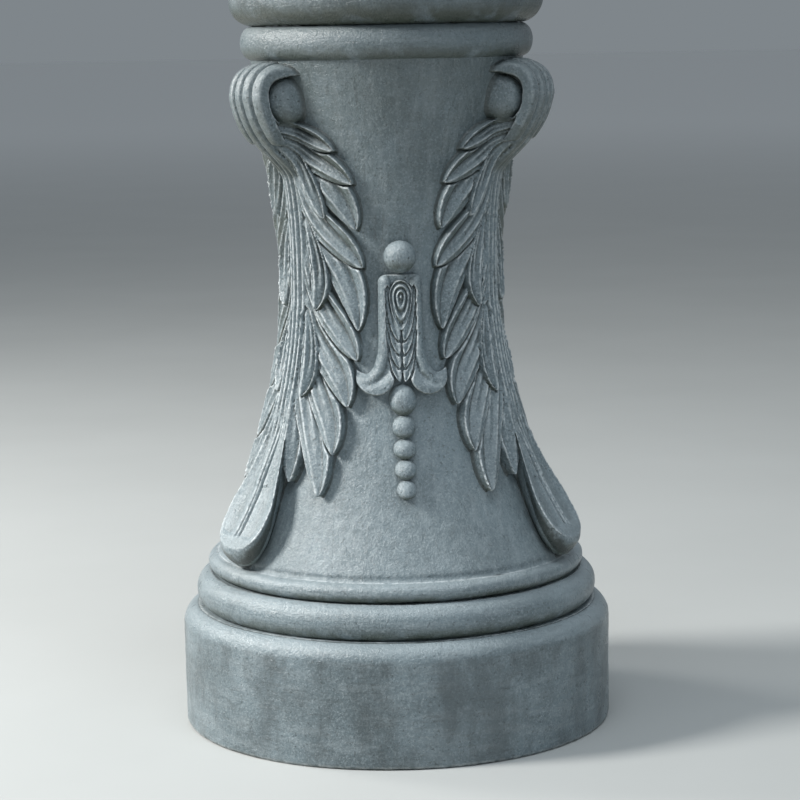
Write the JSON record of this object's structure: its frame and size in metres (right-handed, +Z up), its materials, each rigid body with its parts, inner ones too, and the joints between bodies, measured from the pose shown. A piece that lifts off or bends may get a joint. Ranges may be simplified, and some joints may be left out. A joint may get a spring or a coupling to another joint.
{
  "type": "garden sundial",
  "caption": "Cast-stone garden sundial: baluster pedestal with acanthus scrolls, lift-off head, and a bronze dial that turns to set the gnomon to north.",
  "frame": {"origin": "centre of the base, on the ground", "axes": "+Z up, front towards -Y, the gnomon's north end towards +Y at rest"},
  "size_m": [0.33, 0.33, 0.7241],
  "materials": {
    "cast_stone": "painted, dry-brushed cast stone, rough",
    "carved_stone": "painted, dry-brushed cast stone, rough, pale on raised edges",
    "aged_bronze": "aged bronze with verdigris",
    "polished_bronze": "satin, worn bright",
    "dark_bronze": "dark patina",
    "brass_fittings": "satin",
    "steel": "zinc plated"
  },
  "bodies": {
    "pedestal": {"plinth_drum": "cast_stone", "base_torus": "cast_stone", "base_bead": "cast_stone", "shaft": "cast_stone", "neck_ring": "cast_stone", "acanthus_scroll_1": "carved_stone", "acanthus_scroll_2": "carved_stone", "acanthus_scroll_3": "carved_stone", "plaque_1": "carved_stone", "plaque_2": "carved_stone", "plaque_3": "carved_stone", "crown_ball_1": "carved_stone", "crown_ball_2": "carved_stone", "crown_ball_3": "carved_stone", "bead_drop_1": "carved_stone", "bead_drop_2": "carved_stone", "bead_drop_3": "carved_stone"},
    "head": {"cap_torus": "cast_stone", "cap_neck": "cast_stone", "dial_table": "cast_stone", "locating_tube": "steel", "pivot_bush": "brass_fittings"},
    "dial": {"dial_plate": "aged_bronze", "chapter_ring": "polished_bronze", "hour_numerals": "dark_bronze", "hour_lines": "dark_bronze", "sun_rays": "polished_bronze", "gnomon": "aged_bronze", "gnomon_screws": "brass_fittings", "pivot_stud": "brass_fittings", "thrust_washer": "steel", "wing_nut": "brass_fittings"}
  },
  "joints": [
    {"name": "head_lift", "type": "slide", "parent": "pedestal", "child": "head", "axis": [0, 0, 1], "range_m": [0, 0.06]},
    {"name": "dial_turn", "type": "hinge", "parent": "head", "child": "dial", "pos_m": [0, 0, 0.63], "axis": [0, 0, 1], "continuous": true}
  ]
}
